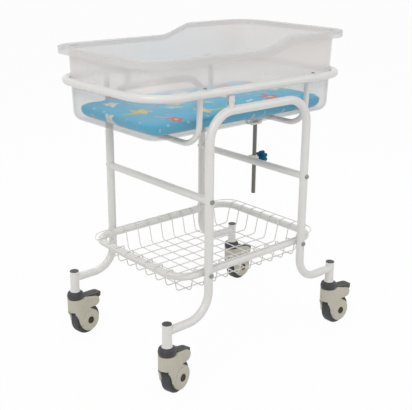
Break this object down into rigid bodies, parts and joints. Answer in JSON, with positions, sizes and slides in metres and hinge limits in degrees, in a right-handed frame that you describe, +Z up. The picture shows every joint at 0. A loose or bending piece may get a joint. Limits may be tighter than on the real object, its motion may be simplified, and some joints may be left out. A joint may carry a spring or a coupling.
{
  "type": "hospital bassinet",
  "caption": "Wheeled hospital bassinet: translucent tub with mattress on a tilting tubular frame, a wire basket below and braked swivel casters.",
  "frame": {"origin": "on the floor, under the middle of the trolley frame", "axes": "+X towards the head end, where the rim is higher and the tilt rod stands; +Y towards the far side; +Z up"},
  "size_m": [0.8292, 0.537, 0.966],
  "materials": {
    "painted_frame": "satin off-white powder coat",
    "basket_wire": "glossy off-white coated wire",
    "dark_steel": "darkened steel",
    "plated_steel": "zinc plated",
    "black_plastic": "fine matte",
    "pedal_plastic": "fine matte",
    "caster_housing": "satin moulded",
    "wheel_core": "moulded",
    "hub_cap": "moulded",
    "tyre": "solid rubber tread",
    "teal_knob": "semi-gloss moulded",
    "milky_tub": "milky translucent, smooth",
    "mattress_cover": "printed wipe-clean cloth"
  },
  "bodies": {
    "base": {"side_frame_near": "painted_frame", "side_frame_far": "painted_frame", "caster_sockets": "painted_frame", "socket_plugs": "black_plastic", "caster_stems": "plated_steel", "crossbar_head": "painted_frame", "crossbar_foot": "painted_frame", "crossbar_bolts": "plated_steel", "basket_frame": "painted_frame", "basket_frame_bolts": "plated_steel", "pivot_posts": "painted_frame", "pivot_pins": "plated_steel", "rod_guide": "dark_steel"},
    "basket": {"wire_basket": "basket_wire"},
    "knob": {"clamp_knob": "teal_knob", "clamp_screw": "plated_steel"},
    "rod": {"tilt_rod": "dark_steel", "rod_cross_pin": "dark_steel"},
    "bed": {"ring_frame": "painted_frame", "pivot_lugs": "painted_frame", "sling_head": "painted_frame", "sling_foot": "painted_frame", "sling_screws": "plated_steel", "slot_bracket": "dark_steel"},
    "tub": {"tub": "milky_tub"},
    "mattress": {"mattress": "mattress_cover"},
    "swivel_foot_far": {"caster_foot_far_housing": "caster_housing", "caster_foot_far_collar": "black_plastic", "caster_foot_far_axle": "plated_steel", "caster_foot_far_hub_caps": "hub_cap", "caster_foot_far_pedal_pin": "plated_steel"},
    "wheel_foot_far": {"caster_foot_far_tread": "tyre", "caster_foot_far_wheel": "wheel_core"},
    "pedal_foot_far": {"caster_foot_far_pedal": "pedal_plastic"},
    "swivel_foot_near": {"caster_foot_near_housing": "caster_housing", "caster_foot_near_collar": "black_plastic", "caster_foot_near_axle": "plated_steel", "caster_foot_near_hub_caps": "hub_cap", "caster_foot_near_pedal_pin": "plated_steel"},
    "wheel_foot_near": {"caster_foot_near_tread": "tyre", "caster_foot_near_wheel": "wheel_core"},
    "pedal_foot_near": {"caster_foot_near_pedal": "pedal_plastic"},
    "swivel_head_near": {"caster_head_near_housing": "caster_housing", "caster_head_near_collar": "black_plastic", "caster_head_near_axle": "plated_steel", "caster_head_near_hub_caps": "hub_cap", "caster_head_near_pedal_pin": "plated_steel"},
    "wheel_head_near": {"caster_head_near_tread": "tyre", "caster_head_near_wheel": "wheel_core"},
    "pedal_head_near": {"caster_head_near_pedal": "pedal_plastic"},
    "swivel_head_far": {"caster_head_far_housing": "caster_housing", "caster_head_far_collar": "black_plastic", "caster_head_far_axle": "plated_steel", "caster_head_far_hub_caps": "hub_cap", "caster_head_far_pedal_pin": "plated_steel"},
    "wheel_head_far": {"caster_head_far_tread": "tyre", "caster_head_far_wheel": "wheel_core"},
    "pedal_head_far": {"caster_head_far_pedal": "pedal_plastic"}
  },
  "joints": [
    {"name": "bed_tilt", "type": "hinge", "parent": "base", "child": "bed", "pos_m": [-0.117, 0, 0.815], "axis": [0, -1, 0], "range_deg": [0, 12]},
    {"name": "rod_slide", "type": "slide", "parent": "base", "child": "rod", "axis": [0, 0, 1], "range_m": [0, 0.068]},
    {"name": "knob_turn", "type": "hinge", "parent": "base", "child": "knob", "pos_m": [0.242, 0, 0.548], "axis": [1, 0, 0], "range_deg": [0, 360]},
    {"name": "tub_lift", "type": "slide", "parent": "bed", "child": "tub", "axis": [0, 0, 1], "range_m": [0, 0.25]},
    {"name": "mattress_lift", "type": "slide", "parent": "tub", "child": "mattress", "axis": [0, 0, 1], "range_m": [0, 0.25]},
    {"name": "basket_lift", "type": "slide", "parent": "base", "child": "basket", "axis": [0, 0, 1], "range_m": [0, 0.14]},
    {"name": "foot_far_swivel", "type": "hinge", "parent": "base", "child": "swivel_foot_far", "pos_m": [-0.34, 0.235, 0.141], "axis": [0, 0, 1], "continuous": true},
    {"name": "foot_far_wheel_spin", "type": "hinge", "parent": "swivel_foot_far", "child": "wheel_foot_far", "pos_m": [-0.30351, 0.24111, 0.049], "axis": [-0.165, 0.9863, 0], "continuous": true},
    {"name": "foot_far_brake", "type": "hinge", "parent": "swivel_foot_far", "child": "pedal_foot_far", "pos_m": [-0.30943, 0.24012, 0.12], "axis": [-0.165, 0.9863, 0], "range_deg": [0, 12]},
    {"name": "foot_near_swivel", "type": "hinge", "parent": "base", "child": "swivel_foot_near", "pos_m": [-0.34, -0.235, 0.141], "axis": [0, 0, 1], "continuous": true},
    {"name": "foot_near_wheel_spin", "type": "hinge", "parent": "swivel_foot_near", "child": "wheel_foot_near", "pos_m": [-0.30443, -0.2248, 0.049], "axis": [-0.2756, 0.9613, 0], "continuous": true},
    {"name": "foot_near_brake", "type": "hinge", "parent": "swivel_foot_near", "child": "pedal_foot_near", "pos_m": [-0.3102, -0.22645, 0.12], "axis": [-0.2756, 0.9613, 0], "range_deg": [-12, 0]},
    {"name": "head_near_swivel", "type": "hinge", "parent": "base", "child": "swivel_head_near", "pos_m": [0.34, -0.235, 0.141], "axis": [0, 0, 1], "continuous": true},
    {"name": "head_near_wheel_spin", "type": "hinge", "parent": "swivel_head_near", "child": "wheel_head_near", "pos_m": [0.37699, -0.23597, 0.049], "axis": [0.0262, 0.9997, 0], "continuous": true},
    {"name": "head_near_brake", "type": "hinge", "parent": "swivel_head_near", "child": "pedal_head_near", "pos_m": [0.37099, -0.23581, 0.12], "axis": [0.0262, 0.9997, 0], "range_deg": [0, 12]},
    {"name": "head_far_swivel", "type": "hinge", "parent": "base", "child": "swivel_head_far", "pos_m": [0.34, 0.235, 0.141], "axis": [0, 0, 1], "continuous": true},
    {"name": "head_far_wheel_spin", "type": "hinge", "parent": "swivel_head_far", "child": "wheel_head_far", "pos_m": [0.37691, 0.23758, 0.049], "axis": [-0.0698, 0.9976, 0], "continuous": true},
    {"name": "head_far_brake", "type": "hinge", "parent": "swivel_head_far", "child": "pedal_head_far", "pos_m": [0.37092, 0.23716, 0.12], "axis": [-0.0698, 0.9976, 0], "range_deg": [-12, 0]}
  ],
  "couplings": [
    {"joint": "rod_slide", "follows": "bed_tilt", "m_per_rad": 0.3177}
  ]
}
